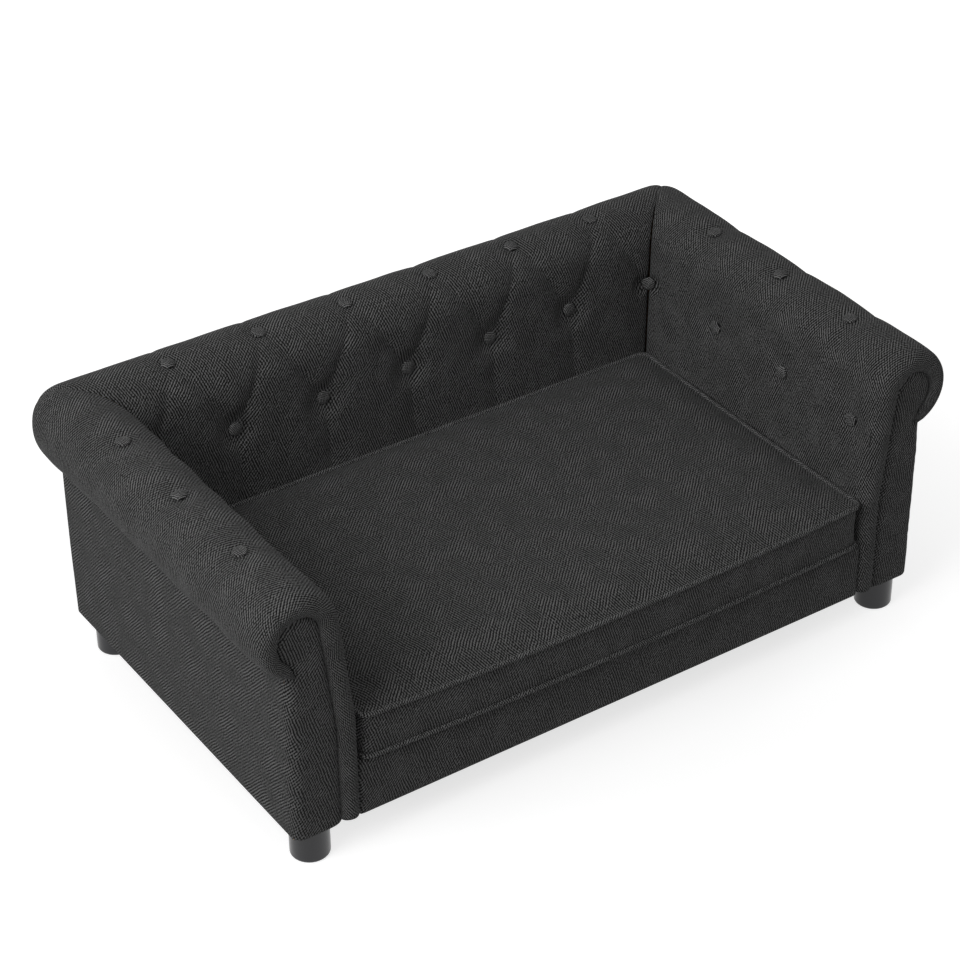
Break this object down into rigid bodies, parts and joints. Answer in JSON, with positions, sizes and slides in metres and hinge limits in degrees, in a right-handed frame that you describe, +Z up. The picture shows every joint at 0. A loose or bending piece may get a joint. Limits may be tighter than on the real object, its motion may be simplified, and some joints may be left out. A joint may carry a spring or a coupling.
{
  "type": "pet bed",
  "caption": "Low pet bed built like a small sofa, with rolled arms, a buttoned and pleated rolled back, a lift-out seat cushion and short round feet.",
  "frame": {"origin": "on the floor, in the middle of the bed's box", "axes": "+X along the width, to the right of someone who looks at the open front; +Y from the open front to the back; +Z up"},
  "size_m": [1.017, 0.6003, 0.3967],
  "materials": {
    "woven_cloth": "dark charcoal woven upholstery cloth, matt, with a fine rib and lighter flecks",
    "foam": "soft open-cell foam",
    "plywood": "raw poplar plywood",
    "thin_board": "raw hardboard",
    "paper_tube": "wound kraft tube",
    "lining_cloth": "thin black non-woven cloth",
    "steel": "zinc-plated steel",
    "foot_plastic": "gloss black moulded plastic",
    "zip_tape": "black zip tape with nylon teeth",
    "zip_metal": "dark plated zip slider"
  },
  "bodies": {
    "sofa": {"front_rail_cover": "woven_cloth", "back_cover": "woven_cloth", "back_outer_cover": "woven_cloth", "back_lower_buttons": "woven_cloth", "back_upper_buttons": "woven_cloth", "left_arm_cover": "woven_cloth", "left_arm_outer_cover": "woven_cloth", "left_arm_scroll_cover": "woven_cloth", "left_arm_scroll_border": "woven_cloth", "left_arm_buttons": "woven_cloth", "right_arm_cover": "woven_cloth", "right_arm_outer_cover": "woven_cloth", "right_arm_scroll_cover": "woven_cloth", "right_arm_scroll_border": "woven_cloth", "right_arm_buttons": "woven_cloth", "front_rail_foam": "foam", "back_foam": "foam", "left_arm_foam": "foam", "right_arm_foam": "foam", "front_rail": "plywood", "rear_rail": "plywood", "side_rails": "plywood", "centre_bearer": "plywood", "seat_deck": "plywood", "back_base_board": "plywood", "back_ribs": "plywood", "left_arm_base_board": "plywood", "left_arm_front_board": "plywood", "left_arm_rear_board": "plywood", "right_arm_base_board": "plywood", "right_arm_front_board": "plywood", "right_arm_rear_board": "plywood", "back_inner_panel": "thin_board", "back_outer_panel": "thin_board", "left_arm_inner_panel": "thin_board", "left_arm_outer_panel": "thin_board", "left_arm_scroll_panel": "thin_board", "right_arm_inner_panel": "thin_board", "right_arm_outer_panel": "thin_board", "right_arm_scroll_panel": "thin_board", "back_roll_tube": "paper_tube", "left_arm_roll_tube": "paper_tube", "right_arm_roll_tube": "paper_tube", "deck_cloth": "lining_cloth", "dust_cloth": "lining_cloth", "deck_screws": "steel", "tee_nuts": "steel", "foot_studs": "steel", "foot_front_left": "foot_plastic", "foot_front_right": "foot_plastic", "foot_rear_left": "foot_plastic", "foot_rear_right": "foot_plastic"},
    "cushion": {"cushion_top": "woven_cloth", "cushion_bottom": "woven_cloth", "cushion_band": "woven_cloth", "cushion_welts": "woven_cloth", "cushion_foam": "foam", "cushion_zip": "zip_tape"},
    "zip_slider": {"cushion_zip_slider": "zip_metal"}
  },
  "joints": [
    {"name": "cushion_lift", "type": "slide", "parent": "sofa", "child": "cushion", "axis": [0, 0, 1], "range_m": [0, 0.3]},
    {"name": "zip_travel", "type": "slide", "parent": "cushion", "child": "zip_slider", "axis": [-1, 0, 0], "range_m": [0, 0.565]}
  ]
}
